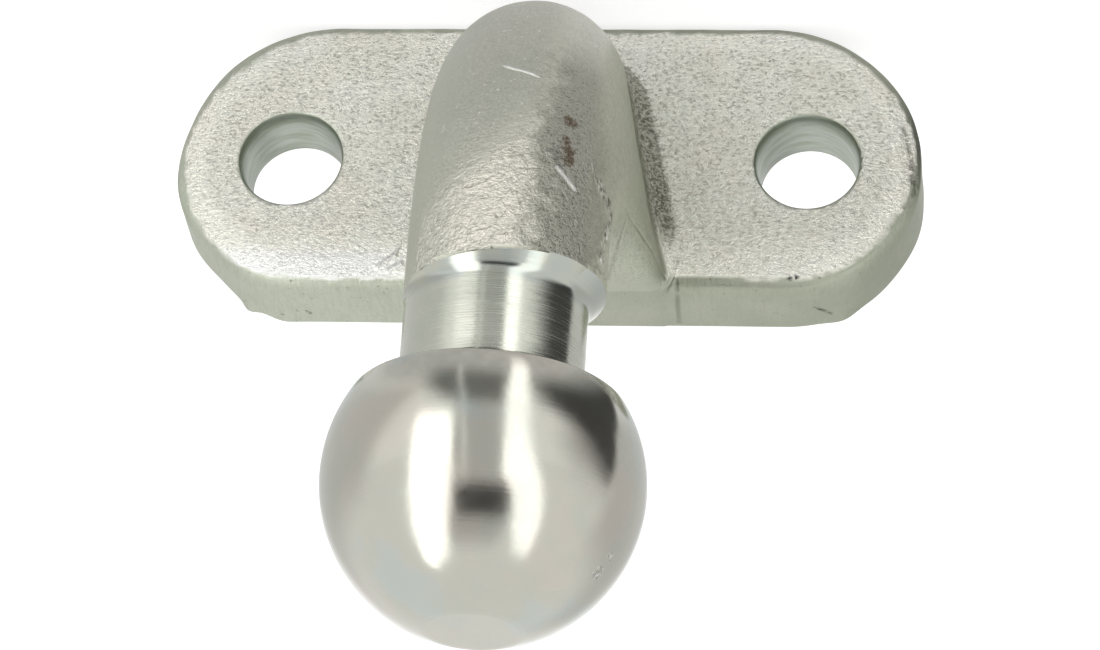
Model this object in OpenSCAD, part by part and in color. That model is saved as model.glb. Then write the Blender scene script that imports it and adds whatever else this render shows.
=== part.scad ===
// Bolt-on tow ball, forged in one piece.
// A drafted flange plate takes two bolts. A heavy arm grows out of its face, bends upwards and is
// turned to a neck and a coupling ball.
// The frame is the one in use: +Z is up along the neck, and the flange stands in the XZ plane with
// its mounting face at y = 0. The arm reaches out towards -Y. The origin lies midway between the
// two bolt holes, on the mounting face.

/* [Ball and neck] */
// Diameter of the coupling ball
ball_d = 50; // [46:0.5:56]
// Diameter of the flat turned on the crown of the ball
ball_flat_d = 15; // [6:0.5:20]
// Height of the ball's centre above the rim of its underside
ball_rim_drop = 13; // [10:0.5:15]
// Slope of the ball's underside from its rim down to the neck, in degrees
underside_slope = 20; // [10:1:25]
// Radius of the cove between the ball's underside and the neck
underside_cove_r = 1.5; // [0.5:0.1:2.5]
// Diameter of the turned neck
neck_d = 28.8; // [25:0.1:30]
// Distance from the mounting face to the axis of the neck
ball_reach = 60.6; // [56:0.2:80]
// Height of the ball's centre above the bolt holes
ball_rise = 82.7; // [78:0.1:110]
// Distance from the shoulder up to the ball's centre
shoulder_drop = 30.4; // [28:0.1:33]
// Radius of the cove between the neck and its shoulder
cove_r = 2.5; // [1:0.5:4]

/* [Flange plate] */
// Overall width of the plate, measured at its mounting face
plate_w = 130.2; // [122:0.2:150]
// Overall height of the plate, measured at its mounting face
plate_h = 52.8; // [52:0.4:60]
// Thickness of the plate
plate_t = 13; // [10:0.5:18]
// Radius of the plate's upper corners, measured at its mounting face
plate_top_r = 23.6; // [18:0.2:23.8]
// Radius of the plate's lower corners, measured at its mounting face
plate_low_r = 28; // [22:0.2:28.2]
// How far the middle of the plate lies below the line of the holes
plate_drop = 1.1; // [0:0.1:2]
// Draft of the plate's edge, in degrees
plate_draft = 1.5; // [0.5:0.5:6]
// Radius of the front edge of the plate
plate_edge_r = 1.8; // [0.6:0.2:2.4]

/* [Bolt holes] */
// Distance between the two bolt holes
hole_pitch = 90; // [84:1:94]
// Diameter of a bolt hole, drilled for an M16 bolt
hole_d = 17; // [13:0.5:19]
// Chamfer of a bolt hole at the front face
hole_front_chamfer = 0.6; // [0.2:0.1:1.2]
// Chamfer of a bolt hole at the mounting face
hole_back_chamfer = 1.2; // [0.4:0.1:2]

/* [Arm] */
// Width of the flat inner face of the arm where it meets the plate
arm_root_w = 44.6; // [40:0.2:50]
// Radius of the rounded underside of the arm at the plate
arm_nose_r = 13.5; // [12:0.5:16]
// Diameter of the forged arm below the shoulder
arm_neck_d = 31.6; // [31:0.2:36]
// How far the forged arm stands off the axis of the neck, towards -X
arm_offset = 1.2; // [0:0.1:1.2]
// Gap between the underside of the arm and the lower edge of the plate
arm_bottom_gap = 4; // [2:0.5:8]
// Inner radius of the bend
bend_inner_r = 20; // [14:1:22]
// Edge radius of the inner face at the plate
arm_edge_r = 3; // [1.5:0.5:5]
// Radius of the fillet between the arm and the plate
root_fillet_r = 3; // [1:0.5:5]

/* [Hidden] */

// Facets of the turned surfaces, and points around the forged sections
turned_fn = 96;
section_points = 56;
plate_points = 80;
// Stations along the arm: in the fillet, along the straight root and round the bend
fillet_steps = 6;
root_steps = 4;
bend_steps = 14;
// Rings that round the front edge of the plate, and angle between the points of a cove
edge_steps = 4;
cove_step = 9;
// Overlap of solids that are joined, and overshoot of solids that are cut away
overlap = 1;
// The inner face of the arm stands this far above the top edge of the plate
web_proud = 0.15;
// The front of the forged arm stands this far outside its upper end
front_proud = 0.4;
// The edges of the arm start to round off this far along its straight root
rounding_start = 0.6;
// Slope of the shoulder's cone
shoulder_slope = 45;

ball_r = ball_d / 2;
neck_r = neck_d / 2;
crown_z = sqrt(pow(ball_r, 2) - pow(ball_flat_d / 2, 2));
rim_r = sqrt(pow(ball_r, 2) - pow(ball_rim_drop, 2));
// The cove under the ball touches the sloping underside and the neck
underside_fall = (rim_r - neck_r) * tan(underside_slope);
underside_turn = 90 - underside_slope;
rim_z = ball_rise - ball_rim_drop;
underside_cove_z = rim_z - underside_fall - underside_cove_r * tan(underside_turn / 2);
shoulder_z = ball_rise - shoulder_drop;
// The cove above the shoulder touches its cone and the neck
cove_reach = cove_r * tan(shoulder_slope / 2);
neck_low_z = shoulder_z + cove_reach;

plate_top = plate_h / 2 - plate_drop;
plate_bottom = -plate_h / 2 - plate_drop;

arm_neck_r = arm_neck_d / 2;
web_z = plate_top + web_proud;
// Centre of the inner bend, and of the large arc of the outer profile
bend_y = -ball_reach + arm_neck_r + bend_inner_r;
bend_z = web_z + bend_inner_r;
front_y = -ball_reach - arm_neck_r - front_proud;
arm_bottom_z = plate_bottom + arm_bottom_gap;
arm_run = -front_y - plate_t;
arm_fall = bend_z - arm_bottom_z;
outer_r = (pow(arm_run, 2) + pow(arm_fall, 2)) / (2 * arm_run);
outer_y = front_y + outer_r;
root_length = -bend_y;
arm_length = root_length + bend_inner_r * PI / 2;

// Smooth step from 0 to 1 between a and b
function ease(x, a, b) =
    let (t = min(1, max(0, (x - a) / (b - a))))
    t * t * (3 - 2 * t);

function mix(a, b, t) = a + (b - a) * t;

// Outline of the plate at depth y, set in from its mounting face and walked by its normals
function plate_ring(inset, y) = [
    for (i = [0 : plate_points - 1])
        let (
            a = -360 * (i + 0.5) / plate_points,
            corner_r = sin(a) > 0 ? plate_top_r : plate_low_r,
            r = corner_r - inset,
            cx = (plate_w / 2 - corner_r) * sign(cos(a)),
            cz = (plate_h / 2 - corner_r) * sign(sin(a))
        )
        [cx + r * cos(a), y, cz + r * sin(a) - plate_drop]
];

// A section of the arm, with u across it and v from the inner face out to the rounded underside.
// It is the taut band round two edge circles and the nose circle, walked by its normals.
function section_point(a, w, edge_r, nose_r, depth) =
    let (
        n = [cos(a), sin(a)],
        side = n[0] < 0 ? -1 : 1,
        edge_c = [side * (w - edge_r), edge_r],
        nose_c = [0, depth - nose_r],
        on_nose = nose_c * n + nose_r > edge_c * n + edge_r,
        c = on_nose ? nose_c : edge_c,
        r = on_nose ? nose_r : edge_r
    )
    c + r * n;

// How far round the arm a station s lies: 0 along the root and 90 degrees at the neck
function bend_angle(s) = 90 * max(0, s - root_length) / (arm_length - root_length);

// Depth of the arm from its inner face to the outer arc, along the section's direction
function arm_depth(s) =
    let (
        a = min(90, bend_angle(s)),
        py = s < root_length ? -s : bend_y,
        dir = [-sin(a), -cos(a)],
        from_c = [py - outer_y, 0],
        b = from_c * dir
    )
    -b + sqrt(b * b - from_c * from_c + outer_r * outer_r) - bend_inner_r;

// Ring of points of the arm at station s, widened by the root fillet
function arm_ring(s, flare) =
    let (
        a = min(90, bend_angle(s)),
        rise = max(0, s - arm_length),
        t = ease(s, 0, arm_length),
        depth = arm_depth(min(s, arm_length)),
        w = mix(arm_root_w / 2, arm_neck_r, t),
        edge_r = mix(arm_edge_r, arm_neck_r, ease(s, root_length * rounding_start, arm_length)),
        nose_r = mix(arm_nose_r, arm_neck_r, t),
        offset_x = -arm_offset * ease(s, root_length, arm_length),
        py = s < root_length ? -s : bend_y
    )
    [
        for (i = [0 : section_points - 1])
            let (
                p = section_point(360 * (i + 0.5) / section_points, w, edge_r, nose_r, depth),
                spread = flare * sign(p[0]) * pow(min(1, abs(p[0]) / nose_r), 2),
                reach = bend_inner_r + p[1]
            )
            [
                p[0] + spread + offset_x,
                py - reach * sin(a),
                bend_z - reach * cos(a) + rise
            ]
    ];

// Side faces between rings of n points, with flat caps
function loft_faces(n, rings) = concat(
    [[for (i = [n - 1 : -1 : 0]) i]],
    [
        for (k = [0 : rings - 2])
            for (i = [0 : n - 1])
                let (a = k * n + i, b = k * n + (i + 1) % n)
                each [[a, b, b + n], [a, b + n, a + n]]
    ],
    [[for (i = [0 : n - 1]) (rings - 1) * n + i]]
);

module loft(rings) {
    count = len(rings);
    polyhedron(points = [for (r = rings) each r], faces = loft_faces(len(rings[0]), count), convexity = 6);
}

// Flange plate: its edge leans inwards to the front, where it is rounded
module plate() {
    straight_t = plate_t - plate_edge_r;
    lean = straight_t * tan(plate_draft);
    rounded = [
        for (k = [0 : edge_steps])
            let (a = 90 * k / edge_steps)
            plate_ring(lean + plate_edge_r * (1 - cos(a)), -straight_t - plate_edge_r * sin(a))
    ];
    loft(concat([plate_ring(0, 0)], rounded));
}

// Forged arm, from the mounting face up into the neck
module arm() {
    in_plate = [
        arm_ring(0, root_fillet_r),
        for (k = [0 : fillet_steps])
            let (
                a = 90 * k / fillet_steps,
                s = plate_t + root_fillet_r * (1 - cos(a))
            )
            arm_ring(s, root_fillet_r * (1 - sin(a)))
    ];
    fillet_end = plate_t + root_fillet_r;
    along = [
        for (k = [1 : root_steps])
            arm_ring(mix(fillet_end, root_length, k / root_steps), 0)
    ];
    round_bend = [
        for (k = [1 : bend_steps])
            arm_ring(mix(root_length, arm_length, k / bend_steps), 0)
    ];
    top = [arm_ring(arm_length + neck_low_z + 2 * overlap - bend_z, 0)];
    loft(concat(in_plate, along, round_bend, top));
}

// Everything below the ball that the lathe leaves standing: the shoulder cone, the neck with its
// coves and the sloping underside of the ball
module turned_below_ball() {
    low_z = plate_bottom - ball_reach;
    low_r = 2 * ball_reach;
    cone_r = neck_r + arm_neck_r;
    cone_low_z = shoulder_z - arm_neck_r * tan(shoulder_slope);
    cove_x = neck_r + cove_r;
    underside_cove_x = neck_r + underside_cove_r;
    rotate_extrude($fn = turned_fn)
        polygon(concat(
            [[0, low_z], [low_r, low_z], [low_r, cone_low_z], [cone_r, cone_low_z]],
            [
                for (a = [180 + shoulder_slope : -cove_step : 180])
                    [cove_x + cove_r * cos(a), neck_low_z + cove_r * sin(a)]
            ],
            [
                for (a = [180 : -cove_step : 90 + underside_slope])
                    [
                        underside_cove_x + underside_cove_r * cos(a),
                        underside_cove_z + underside_cove_r * sin(a)
                    ]
            ],
            [[rim_r, rim_z], [rim_r - overlap, rim_z + overlap], [0, rim_z + overlap]]
        ));
}

// Round stock that the neck is turned from
module neck_stock() {
    translate([0, 0, neck_low_z + overlap])
        cylinder(r = ball_r, h = rim_z - neck_low_z + overlap, $fn = turned_fn);
}

// Coupling ball, flat on its crown and cut off below at its rim
module ball() {
    translate([0, 0, ball_rise])
        difference() {
            sphere(r = ball_r, $fn = turned_fn);
            translate([-ball_d, -ball_d, crown_z])
                cube([2 * ball_d, 2 * ball_d, ball_d]);
            translate([-ball_d, -ball_d, -ball_rim_drop - ball_d])
                cube([2 * ball_d, 2 * ball_d, ball_d]);
        }
}

// A bolt hole through the plate, chamfered at both faces
module bolt_hole() {
    hole_r = hole_d / 2;
    back_r = hole_r + hole_back_chamfer + overlap;
    front_r = hole_r + hole_front_chamfer + overlap;
    rotate([90, 0, 0])
        rotate_extrude($fn = turned_fn)
            polygon([
                [0, -overlap],
                [back_r, -overlap],
                [hole_r, hole_back_chamfer],
                [hole_r, plate_t - hole_front_chamfer],
                [front_r, plate_t + overlap],
                [0, plate_t + overlap]
            ]);
}

// The whole forging, turned and drilled
module tow_ball() {
    color("silver")
        difference() {
            union() {
                plate();
                intersection() {
                    union() {
                        arm();
                        translate([0, -ball_reach, 0])
                            neck_stock();
                    }
                    translate([0, -ball_reach, 0])
                        turned_below_ball();
                }
                translate([0, -ball_reach, 0])
                    ball();
            }
            for (side = [-1, 1])
                translate([side * hole_pitch / 2, 0, 0])
                    bolt_hole();
        }
}

tow_ball();
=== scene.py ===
import math

import bmesh
import bpy
import numpy as np
from mathutils import Matrix, Vector, noise
from mathutils.geometry import delaunay_2d_cdt


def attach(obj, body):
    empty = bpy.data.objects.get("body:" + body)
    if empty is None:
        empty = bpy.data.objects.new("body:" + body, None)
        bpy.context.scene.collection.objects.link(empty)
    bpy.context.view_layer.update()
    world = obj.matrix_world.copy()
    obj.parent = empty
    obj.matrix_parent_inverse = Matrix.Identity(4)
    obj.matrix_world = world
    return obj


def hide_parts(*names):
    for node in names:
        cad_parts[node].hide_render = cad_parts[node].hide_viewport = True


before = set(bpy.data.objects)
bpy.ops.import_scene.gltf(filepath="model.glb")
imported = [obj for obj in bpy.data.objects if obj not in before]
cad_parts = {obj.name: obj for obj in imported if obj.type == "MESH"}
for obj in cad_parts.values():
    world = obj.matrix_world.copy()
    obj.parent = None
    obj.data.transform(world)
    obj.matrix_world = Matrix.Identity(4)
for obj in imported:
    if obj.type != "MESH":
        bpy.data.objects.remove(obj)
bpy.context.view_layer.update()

MM = 0.001
FAR = 1e9

# Sizes in mm, as in the part's source
BALL_R = 25.0
FLAT_R = 7.5
RIM_DROP = 13.0
UNDER_SLOPE = 20.0
UNDER_COVE = 1.5
NECK_R = 14.4
REACH = 60.6
RISE = 82.7
SHOULDER_Z = RISE - 30.4
COVE = 2.5
PLATE_W, PLATE_H, PLATE_T = 130.2, 52.8, 13.0
PLATE_TOP_R, PLATE_LOW_R = 23.6, 28.0
PLATE_DROP = 1.1
PLATE_DRAFT = 1.5
PLATE_EDGE = 1.8
HOLE_X, HOLE_R = 45.0, 8.5
HOLE_FRONT, HOLE_BACK = 0.6, 1.2
ROOT_W, NOSE_R, ARM_R = 44.6, 13.5, 15.8
ARM_OFFSET, BOTTOM_GAP = 1.2, 4.0
BEND_R, EDGE_R = 20.0, 3.0

# Finer forms: the pillowed face, the sloping top edge, the holes' taper, the arm's foot and the rim
PILLOW, PILLOW_W = 0.6, 4.5
TOP_EDGE = 5.5
HOLE_TAPER = 2.6
FOOT_R, FOOT_TOP = 4.6, 0.26
RIM_SOFT = 0.45

# The forging's outline isn't quite regular: how far out, where (x, z) and how wide
OUTLINE_BUMPS = (
    (0.35, (65, 4), (6, 7)), (-1.0, (57.5, 17.5), (7, 6)), (0.35, (-50, -22), (9, 9)),
    (-0.5, (-61, 14), (6, 8)), (-0.3, (-64, 0), (6, 8)), (0.45, (55, -21), (14, 9)),
    (-0.3, (-52, -22), (12, 6)),
)
# Trimmed flash at the back edge of the upper corners
FLASH_LUMPS = ((0.9, (52.3, 23), (1.6, 2)), (0.4, (46, 25), (2.5, 3)), (0.8, (-51.5, 24), (2.8, 3)))
FLASH_DEPTH = 4.5

# How finely the forging is meshed, in mm and in counts
OUTLINE_STEP, FACE_PITCH, ROW_SPACING = 0.8, 0.85, 0.866
SIDE_RINGS, EDGE_RINGS, FOOT_RINGS = 14, 8, 10
ARM_POINTS, LATHE_SEGMENTS, STOCK_SEGMENTS, HOLE_SEGMENTS = 150, 224, 96, 128
STRAIGHT_STEP, BEND_STEP, UPRIGHT_STEP = 0.7, 0.42, 0.8
MIN_AREA = 0.004

PLATE_TOP = PLATE_H / 2 - PLATE_DROP
PLATE_LOW = -PLATE_H / 2 - PLATE_DROP
WEB_Z = PLATE_TOP + 0.15
BEND_Y = -REACH + ARM_R + BEND_R
BEND_Z = WEB_Z + BEND_R
FRONT_Y = -REACH - ARM_R - 0.4
ARM_LOW = PLATE_LOW + BOTTOM_GAP
RUN = -FRONT_Y - PLATE_T
FALL = BEND_Z - ARM_LOW
OUTER_R = (RUN ** 2 + FALL ** 2) / (2 * RUN)
OUTER_Y = FRONT_Y + OUTER_R
ROOT_LEN = -BEND_Y
ARM_LEN = ROOT_LEN + BEND_R * math.pi / 2
COVE_REACH = COVE * math.tan(math.radians(22.5))
NECK_LOW = SHOULDER_Z + COVE_REACH
CONE_LOW = SHOULDER_Z - ARM_R
RIM_Z = RISE - RIM_DROP
RIM_R = math.sqrt(BALL_R ** 2 - RIM_DROP ** 2)
STOCK_R, STOCK_TOP = 30, 125


def ease(x, a, b):
    t = np.clip((x - a) / (b - a), 0, 1)
    return t * t * (3 - 2 * t)


def mix(a, b, t):
    return a + (b - a) * t


# Mesh tools

def make(name, verts, faces):
    mesh = bpy.data.meshes.new(name)
    mesh.from_pydata([tuple(v) for v in verts], [], [tuple(f) for f in faces])
    mesh.validate()
    thing = bpy.data.objects.new(name, mesh)
    bpy.context.scene.collection.objects.link(thing)
    return thing


def face_out(thing):
    work = bmesh.new()
    work.from_mesh(thing.data)
    bmesh.ops.recalc_face_normals(work, faces=work.faces)
    work.to_mesh(thing.data)
    work.free()
    return thing


def combine(a, b, operation):
    modifier = a.modifiers.new("combine", "BOOLEAN")
    modifier.operation = operation
    modifier.solver = "MANIFOLD"
    modifier.object = b
    bpy.context.view_layer.update()
    done = bpy.data.meshes.new_from_object(a.evaluated_get(bpy.context.evaluated_depsgraph_get()))
    a.modifiers.clear()
    a.data = done
    bpy.data.objects.remove(b)
    return a


def revolve(name, profile, centre, segments, along="Z"):
    """A closed solid from (radius, height) points that start and end on the axis."""
    pts, rings = [], []
    for r, h in profile:
        if r < 1e-9:
            rings.append([len(pts)])
            pts.append((0, 0, h))
        else:
            rings.append(list(range(len(pts), len(pts) + segments)))
            for i in range(segments):
                a = 2 * math.pi * (i + 0.5) / segments
                pts.append((r * math.cos(a), r * math.sin(a), h))
    faces = []
    for lo, hi in zip(rings[:-1], rings[1:]):
        for i in range(segments):
            j = (i + 1) % segments
            if len(lo) == 1:
                faces.append((lo[0], hi[j], hi[i]))
            elif len(hi) == 1:
                faces.append((lo[i], lo[j], hi[0]))
            else:
                faces.append((lo[i], lo[j], hi[j], hi[i]))
    pts = np.array(pts)
    if along == "Y":
        pts = pts[:, [0, 2, 1]] * [1, -1, 1]
    return face_out(make(name, (pts + centre) * MM, faces))


def tube(rings, count):
    """Faces between rings that have the same count of points."""
    faces = []
    for k in range(rings - 1):
        for i in range(count):
            j = (i + 1) % count
            faces.append((k * count + i, k * count + j, (k + 1) * count + j, (k + 1) * count + i))
    return faces


def arc(cx, cz, r, a0, a1, n):
    return [
        (cx + r * math.cos(math.radians(a)), cz + r * math.sin(math.radians(a)))
        for a in np.linspace(a0, a1, n)
    ]


def bump_at(p, centre, width):
    return np.exp(-(((p - centre) / width) ** 2).sum(-1))


def bumps(p, table):
    return sum(height * bump_at(p, centre, width) for height, centre, width in table)


# Flange plate

def plate_outline(step):
    """Points on the mounting face's outline with their outward normals, evenly spaced."""
    w, h = PLATE_W / 2, PLATE_H / 2
    rt, rl = PLATE_TOP_R, PLATE_LOW_R
    parts = []

    def line(p, q, n):
        count = max(1, int(round(math.dist(p, q) / step)))
        for k in range(count):
            t = k / count
            parts.append((mix(p[0], q[0], t), mix(p[1], q[1], t), n[0], n[1]))

    def corner(c, r, a0, a1):
        count = int(round(r * math.radians(abs(a1 - a0)) / step))
        for k in range(count):
            a = math.radians(mix(a0, a1, k / count))
            parts.append((c[0] + r * math.cos(a), c[1] + r * math.sin(a), math.cos(a), math.sin(a)))

    line((w - rt, h), (-w + rt, h), (0, 1))
    corner((-w + rt, h - rt), rt, 90, 180)
    line((-w, h - rt), (-w, -h + rl), (-1, 0))
    corner((-w + rl, -h + rl), rl, 180, 270)
    line((-w + rl, -h), (w - rl, -h), (0, -1))
    corner((w - rl, -h + rl), rl, 270, 360)
    line((w, -h + rl), (w, h - rt), (1, 0))
    corner((w - rt, h - rt), rt, 0, 90)
    a = np.array(parts)
    a[:, 1] -= PLATE_DROP
    return a[:, :2], a[:, 2:]


def plate_rings(base, normal):
    """Rings of points from the mounting face to the rim of the front face."""
    wave = bumps(base, OUTLINE_BUMPS)
    lumps = bumps(base, FLASH_LUMPS)
    lean = (PLATE_T - PLATE_EDGE) * math.tan(math.radians(PLATE_DRAFT))
    # The front edge is round at the ends and slopes back, with a crisp corner, along the top
    edge_depth = mix(PLATE_EDGE, TOP_EDGE, ease(normal[:, 1], 0.1, 0.8))
    depth = PLATE_T - edge_depth
    rings = []

    def ring(inset, y):
        p = base - normal * inset[:, None]
        rings.append(np.c_[p[:, 0], y, p[:, 1]])

    for k in range(SIDE_RINGS + 1):
        y = depth * k / SIDE_RINGS
        ring(lean * y / depth - wave - ease(FLASH_DEPTH - y, 0, FLASH_DEPTH) * lumps, -y)
    for k in range(1, EDGE_RINGS + 1):
        a = math.pi / 2 * k / EDGE_RINGS
        ring(lean + PLATE_EDGE * (1 - math.cos(a)) - wave, -depth - (edge_depth - PILLOW) * math.sin(a))
    return rings


def grid_within(edge, normal, pitch):
    """Staggered points inside an outline, a little away from it."""
    grid = np.array([
        (-PLATE_W / 2 + (col + 0.5 * (row % 2)) * pitch, PLATE_LOW + row * pitch * ROW_SPACING)
        for row in range(int(PLATE_H / pitch / ROW_SPACING) + 1)
        for col in range(int(PLATE_W / pitch) + 1)
    ])
    nearest = np.full(len(grid), FAR)
    side = np.zeros(len(grid))
    for p, n in zip(edge, normal):
        away = grid - p
        dist = np.hypot(away[:, 0], away[:, 1])
        better = dist < nearest
        side[better] = (away[better] * n).sum(1)
        nearest = np.minimum(nearest, dist)
    return grid[(nearest > 0.7 * pitch) & (side < 0)]


def within(p, edge):
    """True for each point that lies inside a closed outline."""
    inside = np.zeros(len(p), dtype=bool)
    for a, b in zip(edge, np.roll(edge, -1, axis=0)):
        if a[1] != b[1]:
            spans = (a[1] > p[:, 1]) != (b[1] > p[:, 1])
            cross = a[0] + (p[:, 1] - a[1]) * (b[0] - a[0]) / (b[1] - a[1])
            inside ^= spans & (p[:, 0] < cross)
    return inside


def plate():
    base, normal = plate_outline(OUTLINE_STEP)
    rings = plate_rings(base, normal)
    n = len(base)
    verts = [tuple(v) for ring in rings for v in ring]
    faces = [tuple(range(n))] + tube(len(rings), n)
    # The front face is filled with small triangles
    edge = rings[-1][:, [0, 2]]
    inner = grid_within(edge, normal, FACE_PITCH)
    rim = (len(rings) - 1) * n
    seeds = [Vector(p) for p in edge] + [Vector(p) for p in inner]
    flat, _, tris, origin, _, _ = delaunay_2d_cdt(seeds, [], [list(range(n))], 1, 1e-6, True)
    where = []
    for p, sources in zip(flat, origin):
        on_rim = [q for q in sources if q < n]
        if on_rim:
            where.append(rim + on_rim[0])
        else:
            where.append(len(verts))
            from_rim = np.hypot(edge[:, 0] - p.x, edge[:, 1] - p.y).min()
            y = PILLOW * max(0, 1 - from_rim / PILLOW_W) ** 2 - PLATE_T
            verts.append((p.x, y, p.y))
    # Slivers and triangles outside the outline are left out
    flat = np.array([(p.x, p.y) for p in flat])
    tris = np.array(tris)
    ab = flat[tris[:, 1]] - flat[tris[:, 0]]
    ac = flat[tris[:, 2]] - flat[tris[:, 0]]
    area = np.abs(ab[:, 0] * ac[:, 1] - ab[:, 1] * ac[:, 0])
    kept = within(flat[tris].mean(axis=1), edge) & (area > MIN_AREA)
    faces += [tuple(where[q] for q in t) for t in tris[kept]]
    return face_out(make("plate", np.array(verts) * MM, faces))


# Forged arm

def section(w, edge_r, nose_r, depth, count):
    """Evenly spaced points of a section of the arm: u across, v from the inner face outwards."""
    a = np.radians(np.linspace(-90, 270, 1441)[:-1] + 0.125)
    n = np.c_[np.cos(a), np.sin(a)]
    side = np.where(n[:, 0] < 0, -1.0, 1.0)
    edge_c = np.c_[side * (w - edge_r), np.full(len(a), edge_r)]
    nose_c = np.tile([0.0, depth - nose_r], (len(a), 1))
    on_nose = (nose_c * n).sum(1) + nose_r > (edge_c * n).sum(1) + edge_r
    c = np.where(on_nose[:, None], nose_c, edge_c)
    r = np.where(on_nose, nose_r, edge_r)
    p = c + r[:, None] * n
    loop = np.vstack([p, p[:1]])
    length = np.r_[0, np.cumsum(np.hypot(*np.diff(loop, axis=0).T))]
    t = np.linspace(0, length[-1], count + 1)[:-1]
    return np.c_[np.interp(t, length, loop[:, 0]), np.interp(t, length, loop[:, 1])]


def bend_angle(s):
    return math.radians(90 * max(0, s - ROOT_LEN) / (ARM_LEN - ROOT_LEN))


def arm_depth(s):
    a = min(math.pi / 2, bend_angle(s))
    from_centre = (-s if s < ROOT_LEN else BEND_Y) - OUTER_Y
    b = -from_centre * math.sin(a)
    return -b + math.sqrt(b * b - from_centre ** 2 + OUTER_R ** 2) - BEND_R


def arm_ring(s, flare):
    a = min(math.pi / 2, bend_angle(s))
    rise = max(0, s - ARM_LEN)
    t = float(ease(s, 0, ARM_LEN))
    depth = arm_depth(min(s, ARM_LEN))
    w = mix(ROOT_W / 2, ARM_R, t)
    edge_r = mix(EDGE_R, ARM_R, float(ease(s, ROOT_LEN * 0.6, ARM_LEN)))
    nose_r = mix(NOSE_R, ARM_R, t)
    offset = -ARM_OFFSET * float(ease(s, ROOT_LEN, ARM_LEN))
    py = -s if s < ROOT_LEN else BEND_Y
    p = section(w, edge_r, nose_r, depth, ARM_POINTS)
    # The foot is widest below the web's edges
    share = mix(FOOT_TOP, 1, ease(p[:, 1], 0, nose_r))
    spread = flare * share * np.sign(p[:, 0]) * np.minimum(1, np.abs(p[:, 0]) / nose_r) ** 2
    reach = BEND_R + p[:, 1]
    return np.c_[
        p[:, 0] + spread + offset,
        py - reach * math.sin(a),
        BEND_Z - reach * math.cos(a) + rise,
    ]


def arm():
    rings = [arm_ring(0, FOOT_R)]
    for k in range(FOOT_RINGS + 1):
        a = math.pi / 2 * k / FOOT_RINGS
        rings.append(arm_ring(PLATE_T + FOOT_R * (1 - math.cos(a)), FOOT_R * (1 - math.sin(a))))
    s, end = PLATE_T + FOOT_R, ARM_LEN + NECK_LOW + 2 - BEND_Z
    while s < end - 0.3:
        # The outer side moves faster than the inner one round the bend
        s += STRAIGHT_STEP if s < ROOT_LEN else BEND_STEP if s < ARM_LEN else UPRIGHT_STEP
        rings.append(arm_ring(min(s, end), 0))
    last = (len(rings) - 1) * ARM_POINTS
    faces = [tuple(range(ARM_POINTS))] + tube(len(rings), ARM_POINTS)
    faces.append(tuple(last + i for i in range(ARM_POINTS)))
    return face_out(make("arm", np.vstack(rings) * MM, faces))


# Neck and ball

def turned_profile():
    """(radius, z) of all that the lathe leaves standing, from the cone up to the crown.
    The first three points only close the solid below the cone."""
    cone_r = NECK_R + ARM_R
    low_r = 2 * REACH
    p = [(0, PLATE_LOW - REACH), (low_r, PLATE_LOW - REACH), (low_r, CONE_LOW), (cone_r, CONE_LOW)]
    p += arc(NECK_R + COVE, NECK_LOW, COVE, 225, 180, 8)
    turn = 90 - UNDER_SLOPE
    fall = (RIM_R - NECK_R) * math.tan(math.radians(UNDER_SLOPE))
    cove_z = RIM_Z - fall - UNDER_COVE * math.tan(math.radians(turn / 2))
    for k in range(1, 6):
        p.append((NECK_R, mix(NECK_LOW, cove_z, k / 6)))
    p += arc(NECK_R + UNDER_COVE, cove_z, UNDER_COVE, 180, 90 + UNDER_SLOPE, 8)
    # The rim of the underside is slightly rounded
    rim_a = -math.degrees(math.asin(RIM_DROP / BALL_R))
    d = (math.cos(math.radians(UNDER_SLOPE)), math.sin(math.radians(UNDER_SLOPE)))
    before = (RIM_R - RIM_SOFT * d[0], RIM_Z - RIM_SOFT * d[1])
    after_a = rim_a + math.degrees(RIM_SOFT / BALL_R)
    after = (BALL_R * math.cos(math.radians(after_a)), RISE + BALL_R * math.sin(math.radians(after_a)))
    for t in np.linspace(0, 1, 6):
        p.append(tuple(
            (1 - t) ** 2 * b + 2 * t * (1 - t) * c + t ** 2 * e
            for b, c, e in zip(before, (RIM_R, RIM_Z), after)
        ))
    crown_a = math.degrees(math.acos(FLAT_R / BALL_R))
    p += arc(0, RISE, BALL_R, after_a + 1.2, crown_a - 0.6, 92)
    # The crown's flat ends in a slightly broken edge
    top = RISE + BALL_R * math.sin(math.radians(crown_a))
    p += [(FLAT_R - 0.02, top - 0.08), (FLAT_R - 0.22, top - 0.01), (FLAT_R - 0.5, top)]
    p += [(5.0, top), (2.5, top), (0, top)]
    return p


def hole_cutter(side):
    return revolve("hole", [
        (0, -1),
        (HOLE_R + HOLE_BACK + 1, -1),
        (HOLE_R + 0.12, HOLE_BACK - 0.12),
        (HOLE_R, HOLE_BACK + 0.15),
        (HOLE_R, 4.5),
        (HOLE_R, 8.5),
        (HOLE_R, PLATE_T - HOLE_TAPER),
        (HOLE_R + 0.8 * HOLE_FRONT, PLATE_T - 0.25),
        (HOLE_R + HOLE_FRONT + 0.8, PLATE_T + 0.8),
        (0, PLATE_T + 1),
    ], np.array([side * HOLE_X, 0, 0]), HOLE_SEGMENTS, along="Y")


def bar_stock(axis):
    low = NECK_LOW + 1
    outline = [(0, low), (STOCK_R, low), (STOCK_R, STOCK_TOP), (0, STOCK_TOP)]
    return revolve("stock", outline, axis, STOCK_SEGMENTS)


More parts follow.
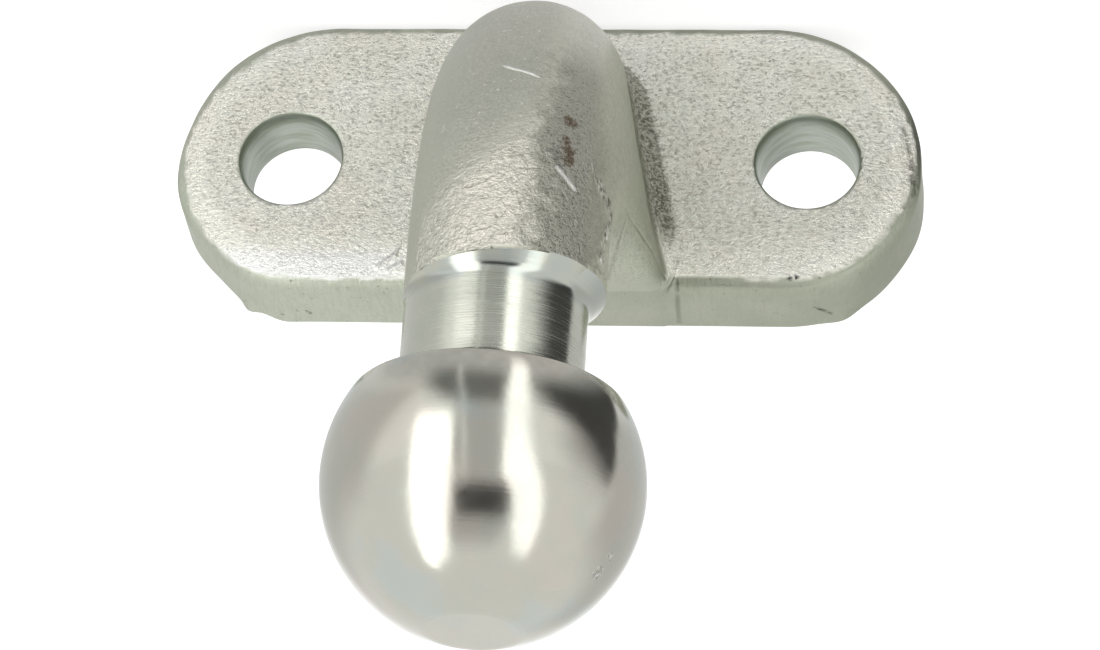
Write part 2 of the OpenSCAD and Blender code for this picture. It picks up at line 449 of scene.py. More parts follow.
profile = turned_profile()
axis = np.array([0, -REACH, 0])
turned = revolve("turned", profile, axis, LATHE_SEGMENTS)
body = combine(combine(arm(), bar_stock(axis), "UNION"), turned, "INTERSECT")
body = combine(body, plate(), "UNION")
for side in (-1, 1):
    body = combine(body, hole_cutter(side), "DIFFERENCE")
body.name = body.data.name = "tow_ball_forging"
mesh = body.data

# Surface masks and relief

# Torn flash on the right flank, and a torn lip at the web's corner
TEAR = (
    (-15.2, -67, 31), (-15.9, -65.4, 34.7), (-17, -59.5, 35), (-16.8, -63.1, 40.1), (-16.2, -65.9, 48.4),
)
TEAR_W = 1.3
LIP, LIP_SIZE = (-23.2, -13.4, 20.0), (1.3, 1.6, 3.4)
# Below this distance a point lies on a turned or drilled face
TURNED_NEAR, HOLE_RIM = 0.03, 0.75


def read(attribute):
    a = np.empty(len(mesh.vertices) * 3)
    mesh.vertices.foreach_get(attribute, a)
    return a.reshape(-1, 3)


def turned_distance(p):
    """Distance in radius from the lathe's outline, in mm; large below the cone."""
    r = np.hypot(p[:, 0], p[:, 1] + REACH)
    outline = np.array(profile[3:])
    d = np.full(len(p), FAR)
    for (r0, z0), (r1, z1) in zip(outline[:-1], outline[1:]):
        e = np.array([r1 - r0, z1 - z0])
        if (e ** 2).sum() < 1e-12:
            continue
        t = np.clip(((r - r0) * e[0] + (p[:, 2] - z0) * e[1]) / (e ** 2).sum(), 0, 1)
        d = np.minimum(d, np.hypot(r - r0 - t * e[0], p[:, 2] - z0 - t * e[1]))
    return d


def hole_distance(p):
    """Distance from the wall of the nearer hole, in mm."""
    return np.hypot(HOLE_X - np.abs(p[:, 0]), p[:, 2]) - HOLE_R


def plate_inset(p):
    """How deep inside the plate's outline a point lies, in mm."""
    inset = np.full(len(p), FAR)
    for q in plate_outline(0.4)[0]:
        inset = np.minimum(inset, np.hypot(p[:, 0] - q[0], p[:, 2] - q[1]))
    return inset


def path_distance(p, path):
    d = np.full(len(p), FAR)
    for a, b in zip(np.array(path[:-1]), np.array(path[1:])):
        e = b - a
        t = np.clip(((p - a) @ e) / (e @ e), 0, 1)
        d = np.minimum(d, np.linalg.norm(p - a - t[:, None] * e, axis=1))
    return d


def value_noise(p, scale, seed):
    off = Vector((seed * 17.3, seed * 5.1, -seed * 9.7))
    return np.array([noise.fractal(Vector(v) * scale + off, 0.9, 2.0, 3) for v in p])


points = read("co") / MM
normals = read("normal")
x, y, z = points.T
free = ~((turned_distance(points) < TURNED_NEAR) | (hole_distance(points) < HOLE_RIM) | (y > -0.02))
on_plate = (y > -PLATE_T - 0.3) & free

# 1 on the pebbled skin, 0 on trimmed edges, flanks and the inner face of the arm
pebble = ease(0.93 - np.abs(normals[:, 0]), 0, 0.14)
inner_face = ease(normals[:, 2] + 0.35 * normals[:, 1], -0.1, 0.25) * (z > 20)
pebble = pebble * (1 - 0.9 * inner_face)
border = 1.6 - 0.4 * ease(z, -16, -6) + 0.45 * value_noise(points, 0.35, 4)
border += ease(z, -4, 12) * (0.9 + 0.7 * ease(-x, 0, 20))
border += 0.5 * np.exp(-(((x + 27) / 5) ** 2)) * (z > 10)
face_skin = ease(plate_inset(points) - border, -0.3, 0.3) * ease(-y, 9.5, 10.5)
pebble = np.where(on_plate, face_skin, pebble)
# The die left the arm's lower front smoother on one side
sleek = ease(31 + 0.9 * x - z, -4, 5) * ease(x, -10, -4) * ~on_plate
pebble = pebble * (1 - 0.72 * sleek) * free
# The fillet at the arm's foot gets coarser relief and a darker colour
ragged_y = y + 1.6 * value_noise(points, 0.4, 6)
scale = ease(-y, PLATE_T - 0.1, PLATE_T + 0.3) * ease(ragged_y, -20.5, -18.0) * (normals[:, 2] < 0.5)
scale *= ease(-z, -20, -12) * free
torn = np.exp(-((path_distance(points, TEAR) / TEAR_W) ** 2)) * ease(value_noise(points, 0.45, 5), -0.35, 0.1)
lip = np.linalg.norm((points - LIP) / LIP_SIZE, axis=1)
torn = np.maximum(torn, 0.4 * np.exp(-(lip ** 2)))

height = 0.10 * value_noise(points, 0.09, 1) + 0.09 * pebble * value_noise(points, 0.5, 2)
height = (height + torn * (0.20 + 0.40 * value_noise(points, 0.9, 3))) * free
moved = (points + normals * height[:, None]) * MM
mesh.vertices.foreach_set("co", moved.ravel())

for name, values in (("pebble", pebble), ("torn", torn * free), ("scale", scale), ("sleek", sleek * free)):
    mask = mesh.attributes.new(name, "FLOAT", "POINT")
    mask.data.foreach_set("value", values.astype(np.float32))

mesh.update()

# Materials

# Marks in mm: spots have a centre and a radius, streaks have two ends and a radius
RUST = (
    ((-10.8, -69.9, 24.3), 1.6), ((-10.6, -71.2, 28.6), 1.2),
    ((-10.9, -71.5, 30.4), 1.5), ((-11.1, -72.0, 32.4), 1.4),
)
BRUISES = (((-8.8, -73.0, 31.8), 2.1), ((-9.9, -72.9, 34.0), 1.3))
NICKS = (
    ((-42.6, -12.9, 22.3), 0.7), ((-43.9, -12.8, 22.2), 0.6),
    ((51.9, -12.6, -5.9), 0.4), ((-20.2, -13, 21.5), 0.4),
)
DENTS = (((-18.9, -65.0, 98.7), 1.5), ((-20.6, -65.4, 96.0), 1.0))
SCRATCHES = (
    ((1.2, -69.2, 13.2), (-1.2, -69.4, 14.6), 0.55), ((-1.2, -69.4, 14.6), (-5.6, -69.7, 15.9), 0.55),
    ((-9.6, -73.2, 34.4), (-12.4, -71.6, 37.2), 0.7), ((8.6, -72.8, 38.3), (5.0, -74.5, 34.5), 0.3),
    ((28.0, -13, 20.9), (25.2, -13, 18.8), 0.7), ((26.0, -12.8, 21.6), (24.0, -13, 20.4), 0.8),
    ((25.2, -13, 18.8), (24.2, -13.4, 16.0), 0.5),
)
SEAMS = (
    ((-17.2, -38.3, 23.6), (-15.1, -30.0, 25.4), 0.6), ((-15.1, -30.0, 25.4), (-12.3, -17.7, 25.4), 0.6),
    ((-17.2, -38.3, 23.6), (-18.5, -28.7, 22.2), 0.5), ((-18.5, -28.7, 22.2), (-20.2, -21.5, 22.3), 0.5),
    ((-20.2, -21.5, 22.3), (-21.8, -14.0, 23.2), 0.6),
)
CREASES = (
    ((-23.4, -13.0, 22.8), (-23.6, -11.1, 25.0), 0.6), ((-23.6, -11.1, 25.0), (-23.3, -1.0, 25.4), 0.6),
)
CRACKS = (
    ((-61.4, -13, -7.0), (-63.0, -12.8, 0.0), 0.9), ((-63.0, -12.8, 0.0), (-63.4, -12.6, 5.5), 1.1),
    ((-32.0, -12.8, 23.9), (-33.6, -12.6, 24.1), 0.45), ((-46.8, -6.0, 24.5), (-49.4, -2.8, 24.0), 0.5),
    ((43.4, -4.6, 25.2), (43.0, -3.8, 25.2), 0.5), ((41.3, -4.0, 25.2), (40.9, -3.0, 25.2), 0.5),
    ((50.5, -2.5, 24.8), (46.0, -2.2, 25.2), 0.5),
)
SPOT_WOBBLE = 2.4


def srgb(r, g, b):
    def linear(c):
        return c / 12.92 if c <= 0.04045 else ((c + 0.055) / 1.055) ** 2.4
    return (linear(r), linear(g), linear(b), 1.0)


class Nodes:
    """Short calls that build a node tree."""

    def __init__(self, tree):
        self.tree = tree
        tree.nodes.clear()

    def new(self, kind, **settings):
        node = self.tree.nodes.new(kind)
        for key, value in settings.items():
            setattr(node, key, value)
        return node

    def link(self, a, b):
        self.tree.links.new(a, b)

    def put(self, socket, value):
        if isinstance(value, bpy.types.NodeSocket):
            self.link(value, socket)
        else:
            socket.default_value = value

    def math(self, operation, a, b=0.0, clamp=False):
        node = self.new("ShaderNodeMath", operation=operation, use_clamp=clamp)
        self.put(node.inputs[0], a)
        self.put(node.inputs[1], b)
        return node.outputs[0]

    def plus(self, first, *others):
        for other in others:
            first = self.math("ADD", first, other)
        return first

    def less(self, a, b):
        return self.math("SUBTRACT", a, b)

    def times(self, first, *others):
        for other in others:
            first = self.math("MULTIPLY", first, other)
        return first

    def most(self, values):
        top = 0.0
        for value in values:
            top = self.math("MAXIMUM", top, value)
        return top

    def ramp(self, value, low, high, out_low=0.0, out_high=1.0):
        node = self.new("ShaderNodeMapRange", interpolation_type="SMOOTHSTEP")
        for socket, setting in zip(node.inputs, (value, low, high, out_low, out_high)):
            self.put(socket, setting)
        return node.outputs[0]

    def mix(self, factor, a, b):
        node = self.new("ShaderNodeMix", data_type="RGBA")
        self.put(node.inputs[0], factor)
        self.put(node.inputs[6], a)
        self.put(node.inputs[7], b)
        return node.outputs[2]

    def mix_value(self, factor, a, b):
        node = self.new("ShaderNodeMix", data_type="FLOAT")
        self.put(node.inputs[0], factor)
        self.put(node.inputs[2], a)
        self.put(node.inputs[3], b)
        return node.outputs[0]

    def coords(self, scale=(1, 1, 1), rotation=(0, 0, 0), location=(0, 0, 0)):
        """Object coordinates in mm."""
        mapping = self.new("ShaderNodeMapping")
        self.link(self.new("ShaderNodeTexCoord").outputs["Object"], mapping.inputs["Vector"])
        mapping.inputs["Scale"].default_value = [s / MM for s in scale]
        mapping.inputs["Rotation"].default_value = [math.radians(a) for a in rotation]
        mapping.inputs["Location"].default_value = location
        return mapping.outputs["Vector"]

    def noise(self, vector, scale, detail, rough, distortion=0.0):
        node = self.new("ShaderNodeTexNoise")
        self.link(vector, node.inputs["Vector"])
        node.inputs["Scale"].default_value = scale
        node.inputs["Detail"].default_value = detail
        node.inputs["Roughness"].default_value = rough
        node.inputs["Distortion"].default_value = distortion
        return node.outputs["Fac"]

    def attribute(self, name):
        node = self.new("ShaderNodeAttribute", attribute_type="GEOMETRY", attribute_name=name)
        return node.outputs["Fac"]

    def spots(self, marks, patch):
        """1 inside the marks, fading out over their radius along a wobbly edge."""
        wobble = self.times(self.less(patch, 0.5), SPOT_WOBBLE)
        return [self.spot(centre, radius, wobble) for centre, radius in marks]

    def spot(self, centre, radius, wobble):
        away = self.new("ShaderNodeVectorMath", operation="DISTANCE")
        self.link(self.new("ShaderNodeTexCoord").outputs["Object"], away.inputs[0])
        away.inputs[1].default_value = [c * MM for c in centre]
        dist = self.math("DIVIDE", away.outputs["Value"], radius * MM)
        return self.ramp(self.plus(dist, wobble), 1.0, 0.45)

    def streaks(self, marks):
        """1 along the marks' lines, fading out over their radius."""
        return self.most(self.streak(a, b, radius) for a, b, radius in marks)

    def streak(self, a, b, radius):
        a, b = Vector(a) * MM, Vector(b) * MM
        along = b - a
        rel = self.new("ShaderNodeVectorMath", operation="SUBTRACT")
        self.link(self.new("ShaderNodeTexCoord").outputs["Object"], rel.inputs[0])
        rel.inputs[1].default_value = a
        dot = self.new("ShaderNodeVectorMath", operation="DOT_PRODUCT")
        self.link(rel.outputs[0], dot.inputs[0])
        dot.inputs[1].default_value = along / along.length_squared
        foot = self.new("ShaderNodeVectorMath", operation="SCALE")
        foot.inputs[0].default_value = along
        self.link(self.math("MULTIPLY", dot.outputs["Value"], 1.0, clamp=True), foot.inputs["Scale"])
        away = self.new("ShaderNodeVectorMath", operation="DISTANCE")
        self.link(rel.outputs[0], away.inputs[0])
        self.link(foot.outputs[0], away.inputs[1])
        return self.ramp(away.outputs["Value"], radius * MM, 0.0)


class ForgedNodes(Nodes):
    """Also holds the masks and noises that the forging's relief and colours share."""

    def __init__(self, tree):
        super().__init__(tree)
        self.place = self.coords()
        split = self.new("ShaderNodeSeparateXYZ")
        self.link(self.place, split.inputs[0])
        self.x, self.y, self.z = split.outputs
        self.pebble = self.attribute("pebble")
        self.torn = self.attribute("torn")
        self.scale = self.attribute("scale")
        self.sleek = self.attribute("sleek")
        self.on_arm = self.ramp(self.y, -15, -20)
        # The arm's shaded side towards -X: its darker colour is painted shade, while its stronger relief and
        # rougher finish are the forging's own
        drift = self.times(self.less(self.noise(self.place, 0.35, 4.0, 0.7), 0.5), 16.0)
        self.shaded = self.times(
            self.on_arm, self.ramp(self.plus(self.x, drift), -3, -10), self.ramp(self.z, 0, 14))
        self.brow = self.times(self.on_arm, self.ramp(self.less(self.z, self.times(self.x, 0.6)), 26, 36))
        self.grain = self.noise(self.coords(scale=(1.25, 1.8, 2.0)), 1.0, 4.0, 0.68, 0.25)
        self.fine = self.noise(self.place, 4.2, 3.0, 0.65)
        self.drag = self.noise(self.coords(scale=(2.0, 0.3, 0.7)), 1.0, 4.0, 0.65)
        self.pits = self.ramp(self.noise(self.place, 1.5, 2.0, 0.55), 0.67, 0.76)
        self.specks = self.ramp(self.noise(self.place, 1.15, 3.0, 0.75), 0.63, 0.67)
        self.blotch = self.ramp(self.noise(self.place, 0.06, 3.0, 0.6), 0.35, 0.65)
        self.patch = self.noise(self.place, 0.9, 4.0, 0.75)
        self.rags = self.noise(self.coords(scale=(1.6, 0.8, 0.8), rotation=(30, 20, 0)), 1.0, 4.0, 0.65)


def new_material(name, kind=Nodes):
    mat = bpy.data.materials.new(name)
    mat.use_nodes = True
    return mat, kind(mat.node_tree)


def metal_surface(g, colour, roughness, height, distance):
    bsdf = g.new("ShaderNodeBsdfPrincipled")
    g.put(bsdf.inputs["Base Color"], colour)
    bsdf.inputs["Metallic"].default_value = 1.0
    g.put(bsdf.inputs["Roughness"], roughness)
    bump = g.new("ShaderNodeBump")
    bump.inputs["Strength"].default_value = 1.0
    bump.inputs["Distance"].default_value = distance * MM
    g.link(height, bump.inputs["Height"])
    g.link(bump.outputs["Normal"], bsdf.inputs["Normal"])
    g.link(bsdf.outputs["BSDF"], g.new("ShaderNodeOutputMaterial").inputs["Surface"])


def forged_relief(g):
    # Crumpled and creased skin, with a swell over the arm's brow
    crease = g.noise(g.coords(scale=(0.7, 1.1, 1.3), location=(7, 3, 5)), 1.0, 3.0, 0.6, 0.6)
    crease = g.math("ABSOLUTE", g.less(crease, 0.5))
    coarse = g.ramp(g.noise(g.place, 0.05, 2.0, 0.5), 0.40, 0.60, 0.4, 1.3)
    skin = g.plus(g.grain, g.times(crease, coarse), g.times(g.fine, 0.30))
    skin = g.times(skin, g.plus(1.0, g.times(g.shaded, 0.9)))
    skin = g.plus(skin, g.times(g.noise(g.place, 0.55, 3.0, 0.55, 0.8), g.brow, 2.3))
    # Trimmed and sleek faces have pits, drag marks and a few specks; on the sleek side the specks are also
    # painted white as glints
    satin = g.plus(g.times(g.drag, 0.30), g.times(g.fine, 0.16))
    satin = g.less(satin, g.times(g.pits, 0.25))
    polish = g.plus(g.times(g.specks, 0.45), g.times(g.grain, 0.45))
    satin = g.plus(satin, g.times(polish, g.sleek))
    foot_fillet = g.times(g.plus(g.grain, g.fine), g.scale, 1.1)
    ragged = g.times(g.torn, g.rags, 2.0)
    return g.plus(g.mix_value(g.pebble, satin, skin), foot_fillet, ragged)


def pebble_colour(g):
    """Pale zinc, mottled a little warm, with a painted highlight on the plate's upper +X part near its top
    edge, duller on the arm, painted darker as shade on the arm's shaded side, and darker in the hollows of
    the grain.
    """
    warm = g.ramp(g.noise(g.coords(location=(40, 9, 3)), 0.11, 3.0, 0.6), 0.42, 0.68)
    colour = g.mix(g.blotch, srgb(0.955, 0.955, 0.91), srgb(0.98, 0.98, 0.945))
    colour = g.mix(g.times(warm, 0.5), colour, srgb(0.975, 0.95, 0.90))
    # Painted highlight: the plate's upper +X part near its top edge is painted almost white, as a band of
    # sparkle
    corner = g.times(g.ramp(g.z, 16, 20), g.ramp(g.x, 16, 30), g.ramp(g.y, -16, -14))
    colour = g.mix(corner, colour, srgb(1.0, 1.0, 0.99))
    colour = g.mix(g.on_arm, colour, srgb(0.87, 0.86, 0.81))
    # Painted shade: the arm's shaded side is painted darker
    colour = g.mix(g.shaded, colour, srgb(0.67, 0.665, 0.62))
    # The grain's hollows are darker, more so at low z, and far darker on the arm's shaded side, where the
    # extra darkness is painted shade
    hollow = g.ramp(g.plus(g.times(g.grain, 0.6), g.times(g.fine, 0.4)), 0.50, 0.38)
    share = g.mix_value(g.shaded, g.ramp(g.z, 12, -10, 0.42, 0.70), 0.85)
    dull = g.mix(g.shaded, srgb(0.66, 0.665, 0.61), srgb(0.38, 0.375, 0.33))
    return g.mix(g.times(hollow, share), colour, dull)


def trimmed_colour(g):
    """Duller, slightly green zinc: painted shade darkens it towards -X and on the arm's -X flank towards the
    plate, so it is paler towards the arm's front; it is paler also on its sleek side, where its specks are
    painted white as glints.
    """
    # Painted shade: the trimmed faces are painted darker towards -X
    colour = g.mix(g.ramp(g.x, 34, -6), srgb(0.735, 0.755, 0.695), srgb(0.635, 0.655, 0.59))
    colour = g.mix(g.times(g.blotch, 0.5), colour, srgb(0.71, 0.715, 0.655))
    # Painted shade: the arm's -X flank is painted darker towards the plate
    flank = g.mix(g.ramp(g.y, -24, -60), srgb(0.725, 0.74, 0.67), srgb(0.80, 0.805, 0.735))
    colour = g.mix(g.times(g.on_arm, g.ramp(g.x, 0, -8)), colour, flank)
    colour = g.mix(g.sleek, colour, g.mix(g.blotch, srgb(0.72, 0.73, 0.69), srgb(0.75, 0.755, 0.715)))
    colour = g.mix(g.ramp(g.drag, 0.36, 0.60, 0.22, 0.0), colour, srgb(0.60, 0.61, 0.54))
    dust = g.ramp(g.noise(g.place, 2.0, 4.0, 0.75), 0.40, 0.55, g.mix_value(g.on_arm, 0.12, 0.40), 0.0)
    colour = g.mix(dust, colour, srgb(0.53, 0.54, 0.47))
    # Painted highlight: specks on the sleek side are painted near white as glints
    return g.mix(g.times(g.specks, g.sleek), colour, srgb(0.95, 0.95, 0.93))


def forged_colour(g):
    colour = g.mix(g.pebble, trimmed_colour(g), pebble_colour(g))
    # Painted shade: the arm's +X side is painted darker
    left_side_painted_shade = g.times(g.on_arm, g.ramp(g.x, 3, 12, 0.0, 0.65))
    colour = g.mix(left_side_painted_shade, colour, srgb(0.72, 0.73, 0.675))
    # The fillet at the arm's foot is darker, less so on the grain's high points
    foot_fillet = g.times(g.scale, g.ramp(g.grain, 0.38, 0.58, 1.0, 0.35))
    colour = g.mix(foot_fillet, colour, srgb(0.44, 0.445, 0.38))
    pitted = g.times(g.pits, 0.55, g.less(1.0, g.pebble))
    colour = g.mix(pitted, colour, srgb(0.42, 0.42, 0.36))
    ragged = g.mix(g.ramp(g.rags, 0.40, 0.58), srgb(0.44, 0.44, 0.38), srgb(0.86, 0.86, 0.82))
    return g.mix(g.ramp(g.torn, 0.2, 0.8), colour, ragged)


def forged_marks(g, colour, height):
    """Adds rust, bruises, nicks, scratches, seams, creases and cracks."""
    rust = g.most(g.spots(RUST, g.patch))
    rust = g.times(rust, g.ramp(g.noise(g.place, 2.2, 3.0, 0.7), 0.36, 0.58, 0.35, 0.95))
    colour = g.mix(rust, colour, srgb(0.36, 0.29, 0.215))
    bruise = g.times(g.most(g.spots(BRUISES, g.patch)), g.ramp(g.grain, 0.35, 0.6, 0.9, 0.3))
    colour = g.mix(bruise, colour, srgb(0.36, 0.365, 0.34))
    for nick in g.spots(NICKS, g.patch):
        colour = g.mix(nick, colour, srgb(0.16, 0.16, 0.15))
    cut = g.times(g.streaks(SCRATCHES), g.ramp(g.patch, 0.30, 0.48, 0.4, 1.0))
    seam = g.times(g.streaks(SEAMS), g.ramp(g.patch, 0.35, 0.55, 0.3, 0.9))
    crack = g.times(g.streaks(CRACKS), g.ramp(g.noise(g.place, 1.1, 4.0, 0.7), 0.42, 0.58))
    # Each streak tints the colour by a share and lifts or sinks the surface
    for streak, share, tint, lift in (
        (cut, 1.0, srgb(0.96, 0.96, 0.94), 1.0),
        (seam, 0.35, srgb(0.48, 0.49, 0.42), -0.5),
        (g.streaks(CREASES), 0.55, srgb(0.44, 0.45, 0.38), -0.8),
        (crack, 1.0, srgb(0.36, 0.36, 0.31), -1.2),
    ):
        colour = g.mix(g.times(streak, share), colour, tint)
        height = g.plus(height, g.times(streak, lift))
    return colour, height, rust


def forged_material():
    mat, g = new_material("forged_zinc", ForgedNodes)
    colour, height, rust = forged_marks(g, forged_colour(g), forged_relief(g))
    rough = g.mix_value(g.pebble, 0.42, g.mix_value(g.shaded, 0.22, 0.28))
    rough = g.plus(rough, g.times(g.noise(g.place, 0.3, 3.0, 0.6), 0.08), g.times(rust, 0.3))
    metal_surface(g, colour, rough, height, 0.36)
    return mat


def turned_material():
    mat, g = new_material("turned_zinc")
    marks = g.noise(g.coords(scale=(0.05, 0.05, 4.2)), 1.0, 4.0, 0.7)
    shallow = g.noise(g.coords(scale=(0.3, 0.3, 0.9)), 1.0, 3.0, 0.5)
    cloud = g.ramp(g.noise(g.coords(), 0.14, 3.0, 0.6), 0.35, 0.7)
    colour = g.mix(cloud, srgb(0.77, 0.775, 0.73), srgb(0.74, 0.755, 0.705))
    split = g.new("ShaderNodeSeparateXYZ")
    g.link(g.coords(), split.inputs[0])
    cone = g.ramp(split.outputs["Z"], NECK_LOW + 1.5, NECK_LOW)
    colour = g.mix(cone, colour, g.mix(cloud, srgb(0.68, 0.705, 0.685), srgb(0.72, 0.72, 0.665)))
    rough = g.mix_value(cone, g.ramp(marks, 0.42, 0.66, 0.09, 0.30), 0.14)
    metal_surface(g, colour, rough, g.plus(marks, g.times(shallow, 1.2)), 0.012)
    return mat


def ball_material():
    mat, g = new_material("ball_zinc")
    place = g.coords()
    marks = g.noise(g.coords(scale=(0.06, 0.06, 4.0)), 1.0, 3.0, 0.6)
    cloud = g.noise(place, 0.13, 4.0, 0.6, 0.3)
    peel = g.noise(place, 1.1, 2.0, 0.5)
    height = g.plus(g.times(marks, 0.9), g.times(cloud, 0.6), g.times(peel, 0.5))
    tint = g.noise(g.coords(location=(3, 8, 1)), 0.055, 3.0, 0.55)
    colour = g.mix(g.ramp(cloud, 0.35, 0.7), srgb(0.75, 0.745, 0.705), srgb(0.73, 0.735, 0.695))
    colour = g.mix(g.ramp(tint, 0.50, 0.62, 0.0, 0.4), colour, srgb(0.775, 0.735, 0.695))
    colour = g.mix(g.ramp(tint, 0.46, 0.36, 0.0, 0.6), colour, srgb(0.715, 0.75, 0.735))
    # Dents with torn specks in them
    patch = g.noise(place, 0.9, 4.0, 0.75)
    dents = g.most(g.spots(DENTS, patch))
    specks = g.ramp(g.noise(place, 1.6, 3.0, 0.7), 0.42, 0.58)
    colour = g.mix(g.times(dents, 0.6), colour, g.mix(specks, srgb(0.50, 0.51, 0.47), srgb(0.90, 0.90, 0.88)))
    height = g.plus(height, g.times(dents, patch, 9.0))
    rough = g.plus(0.125, g.times(g.ramp(cloud, 0.35, 0.75), 0.09))
    metal_surface(g, colour, rough, height, 0.010)
    return mat


def bore_material():
    mat, g = new_material("drilled_zinc")
    marks = g.noise(g.coords(scale=(0.10, 2.6, 0.10)), 1.0, 4.0, 0.7)
    cloud = g.noise(g.coords(scale=(0.12, 0.8, 0.12)), 1.0, 3.0, 0.6)
    colour = g.mix(g.ramp(cloud, 0.35, 0.65), srgb(0.60, 0.63, 0.57), srgb(0.68, 0.705, 0.665))
    rough = g.plus(0.30, g.times(marks, 0.12))
    metal_surface(g, colour, rough, g.plus(marks, g.times(cloud, 0.8)), 0.05)
    return mat


mesh.materials.clear()
for mat in (forged_material(), turned_material(), ball_material(), bore_material()):
    mesh.materials.append(mat)
TURNED, BALL, DRILLED = 1, 2, 3

centres = np.empty(len(mesh.polygons) * 3)
mesh.polygons.foreach_get("center", centres)
centres = centres.reshape(-1, 3) / MM
lathe = turned_distance(centres) < 2 * TURNED_NEAR
beyond_neck = np.hypot(centres[:, 0], centres[:, 1] + REACH) > NECK_R + 1.0
on_ball = (centres[:, 2] > RIM_Z) | (centres[:, 2] > RIM_Z - 4) & beyond_neck
from_hole = hole_distance(centres)
near_back = (centres[:, 1] > -HOLE_BACK - 0.1) & (centres[:, 1] < -0.01)
index = np.zeros(len(centres), dtype=np.int32)
index[lathe] = TURNED
index[lathe & on_ball] = BALL
index[(from_hole < HOLE_FRONT + 0.09) | (from_hole < HOLE_BACK - 0.05) & near_back] = DRILLED
mesh.polygons.foreach_set("material_index", index)
mesh.polygons.foreach_set("use_smooth", np.ones(len(centres), dtype=bool))
mesh.set_sharp_from_angle(angle=math.radians(32))
mesh.update()

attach(body, "root")
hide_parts("tow_ball")

# Floor, light and camera

FLOOR_Z = PLATE_LOW - 0.15
FLOOR_SIZE = 4000
FLOOR_GLOW, FLOOR_SEEN_GLOW = 0.64, 0.06
SKY_GLOW = 1.05
BALL_CENTRE = Vector((0, -REACH, RISE))
STUDIO_R = 1500
LIFT_STEP = 50
CARD_STEPS = 36
MOTTLE_SCALE = 0.2


def emission(g, strength):
    glow = g.new("ShaderNodeEmission")
    g.put(glow.inputs["Strength"], strength)
    return glow.outputs[0]


def floor_material():
    """White for the camera and in reflections, and it still takes the object's shadow."""
    mat, g = new_material("floor_white")
    mat.cycles.emission_sampling = "NONE"
    diffuse = g.new("ShaderNodeBsdfDiffuse")
    diffuse.inputs["Color"].default_value = (0.5, 0.5, 0.5, 1)
    path = g.new("ShaderNodeLightPath").outputs
    seen = g.most((path["Is Camera Ray"], path["Is Glossy Ray"], path["Is Transmission Ray"]))
    glow = g.plus(g.times(seen, FLOOR_GLOW), g.times(path["Is Camera Ray"], FLOOR_SEEN_GLOW))
    add = g.new("ShaderNodeAddShader")
    g.link(diffuse.outputs[0], add.inputs[0])
    g.link(emission(g, glow), add.inputs[1])
    g.link(add.outputs[0], g.new("ShaderNodeOutputMaterial").inputs["Surface"])
    return mat


def card_material(name, level, mottle):
    mat, g = new_material(name)
    mat.cycles.emission_sampling = "NONE"
    if mottle:
        cloud = g.noise(g.coords(), MOTTLE_SCALE, 3.0, 0.6)
        level = g.ramp(cloud, 0.35, 0.65, level - mottle, level + mottle)
    blend = g.new("ShaderNodeMixShader")
    g.link(g.attribute("cover"), blend.inputs[0])
    g.link(g.new("ShaderNodeBsdfTransparent").outputs[0], blend.inputs[1])
    g.link(emission(g, level), blend.inputs[2])
    g.link(blend.outputs[0], g.new("ShaderNodeOutputMaterial").inputs["Surface"])
    return mat


def card(name, rows, soft, level, lift, mottle=0.0):
    """A soft-edged studio card that the ball sees in a window of directions, in degrees.
    Each row is (up, left, right). Left and right are counted round Z from -Y towards -X.
    Soft is how far the left, right, low and high edges fade. Level is how bright it is.
    A card with more lift lies in front of the others. Below the horizon it lies on the floor."""
    ups, lefts, rights = (list(column) for column in zip(*rows))
    soft_left, soft_right, soft_low, soft_high = soft
    verts, cover = [], []
    for e in np.linspace(max(-89, ups[0] - soft_low), ups[-1] + soft_high, CARD_STEPS):
        left, right = np.interp(e, ups, lefts), np.interp(e, ups, rights)
        for a in np.linspace(left - soft_left, right + soft_right, CARD_STEPS):
            t, r = math.radians(a), math.radians(e)
            d = Vector((-math.sin(t) * math.cos(r), -math.cos(t) * math.cos(r), math.sin(r)))
            reach = STUDIO_R - LIFT_STEP * lift
            if d.z < 0:
                reach = min(reach, (RISE - FLOOR_Z - lift) / -d.z)
            verts.append((BALL_CENTRE + d * reach) * MM)
            fade = ease(-e, -ups[-1] - soft_high, -ups[-1] + soft_high)
            if soft_low:
                fade *= ease(e, ups[0] - soft_low, ups[0] + soft_low)
            if soft_left:
                fade *= ease(a, left - soft_left, left + soft_left)
                fade *= ease(-a, -right - soft_right, -right + soft_right)
            cover.append(fade)
    n = CARD_STEPS
    faces = [
        (k * n + i, k * n + i + 1, (k + 1) * n + i + 1, (k + 1) * n + i)
        for k in range(n - 1) for i in range(n - 1)
    ]
    sheet = make(name, verts, faces)
    mask = sheet.data.attributes.new("cover", "FLOAT", "POINT")
    mask.data.foreach_set("value", np.array(cover, dtype=np.float32))
    sheet.data.materials.append(card_material(name, level, mottle))
    sheet.visible_camera = False
    sheet.visible_diffuse = False
    sheet.visible_shadow = False


floor = make("floor", [
    (x * FLOOR_SIZE * MM, y * FLOOR_SIZE * MM, FLOOR_Z * MM) for x, y in ((-1, -1), (1, -1), (1, 1), (-1, 1))
], [(0, 1, 2, 3)])
floor.data.materials.append(floor_material())

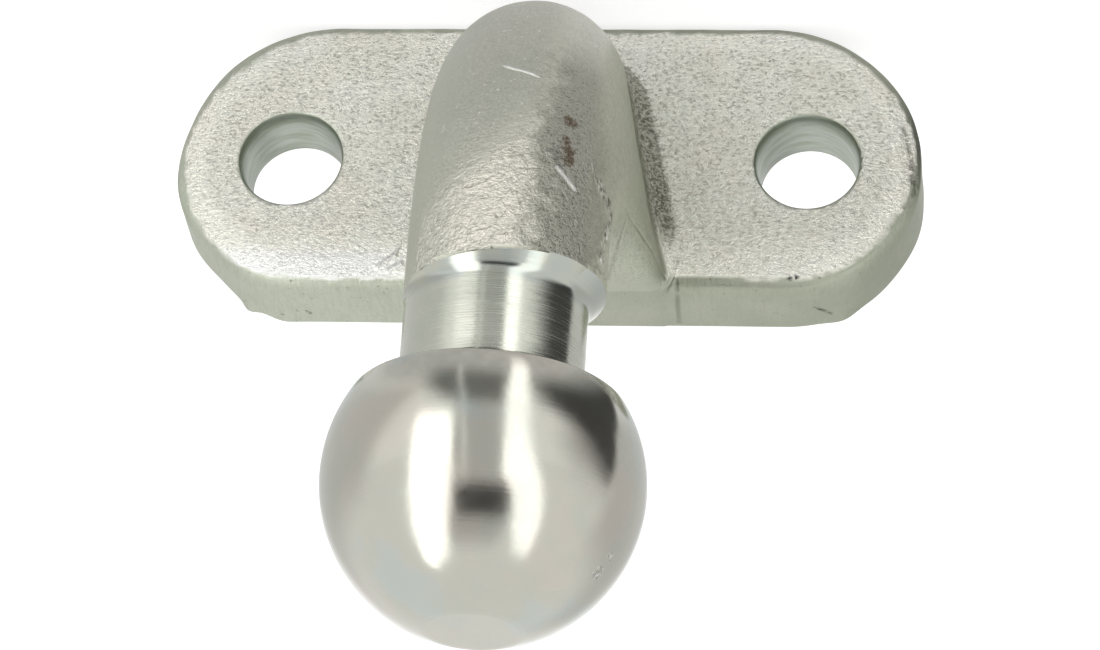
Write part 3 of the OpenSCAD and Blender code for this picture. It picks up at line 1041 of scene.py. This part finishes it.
card("mat", ((-90, -180, 180), (-46, -180, 180)), (0, 0, 0, 8), 0.70, 0.4, 0.10)
card("card_far_left", (
    (-44, -170, -44), (-26, -160, -60), (-10, -150, -74), (4, -150, -84),
), (10, 10, 6, 12), 0.76, 0.5)
card("card_below", ((-35, -15, 18), (16, -15, 19)), (3, 4, 6, 6), 0.66, 0.6)
card("card_ahead", ((19, -15, 28), (44, -18, 34)), (3, 3, 9, 6), 0.09, 0.8)
card("card_above", ((42, -20, 34), (62, -28, 30)), (8, 12, 4, 12), 0.62, 0.6)
card("card_low_left", ((-56, -44, 20), (-44, -40, 18), (-33, -20, 18)), (12, 4, 8, 5), 0.24, 0.7)
card("card_far_right", ((-40, 108, 170), (20, 104, 170)), (8, 10, 8, 14), 0.74, 0.6)
card("veil_right", ((-24, 58, 108), (-4, 66, 108)), (16, 8, 8, 14), 0.62, 0.8)
card("card_right", (
    (-53, 45, 122), (-46, 42, 136), (-38, 46, 122), (-30, 62, 110), (-21, 77, 107), (-12, 89, 104),
    (-5, 97, 102),
), (18, 3, 8, 5), 0.08, 0.9)
card("strip_left", (
    (-26, -40, -16), (-10, -42, -15), (10, -45, -15), (31, -52, -18), (51, -66, -28), (60, -80, -34),
    (67, -84, -46),
), (2, 2, 6, 4), 2.7, 1.2)
card("strip_right", (
    (-66, 30, 47), (-52, 24, 39), (-36, 20, 36), (-22, 20, 35), (-8, 20, 38), (2, 20, 43), (14, 21, 50),
    (26, 31, 56), (46, 38, 66), (60, 54, 78),
), (2, 5, 9, 6), 2.2, 1.4)
card("strip_thin", (
    (-60, -23, -20), (-36, -11.5, -8.5), (-9, -8, -5), (20, -7.5, -4.5),
), (1, 1, 5, 5), 1.1, 1.4)

world = bpy.data.worlds.new("studio")
bpy.context.scene.world = world
world.use_nodes = True
g = Nodes(world.node_tree)
sky = g.new("ShaderNodeBackground")
sky.inputs["Color"].default_value = (1, 1, 1, 1)
sky.inputs["Strength"].default_value = SKY_GLOW
g.link(sky.outputs[0], g.new("ShaderNodeOutputWorld").inputs["Surface"])

bpy.context.scene.view_settings.view_transform = "Standard"

# The camera's directions and place, in metres, as fitted to the photo
RIGHT = (-0.9933677, 0.0975930, -0.0607967)
DOWN = (-0.0112892, 0.4434166, 0.8962445)
AHEAD = (0.1144255, 0.8909867, -0.4393740)
CAMERA_AT = (-0.0757535, -0.5838209, 0.3133069)
LENS, SENSOR = 123.8279, 36.0

cam = bpy.data.cameras.new("camera")
cam.sensor_fit = "HORIZONTAL"
cam.sensor_width = SENSOR
cam.lens = LENS
cam.clip_start = 0.01
cam.clip_end = 50.0
camera = bpy.data.objects.new("camera", cam)
bpy.context.scene.collection.objects.link(camera)
rows = [(right, -down, -ahead, at) for right, down, ahead, at in zip(RIGHT, DOWN, AHEAD, CAMERA_AT)]
camera.matrix_world = Matrix(rows + [(0, 0, 0, 1)])
bpy.context.scene.camera = camera
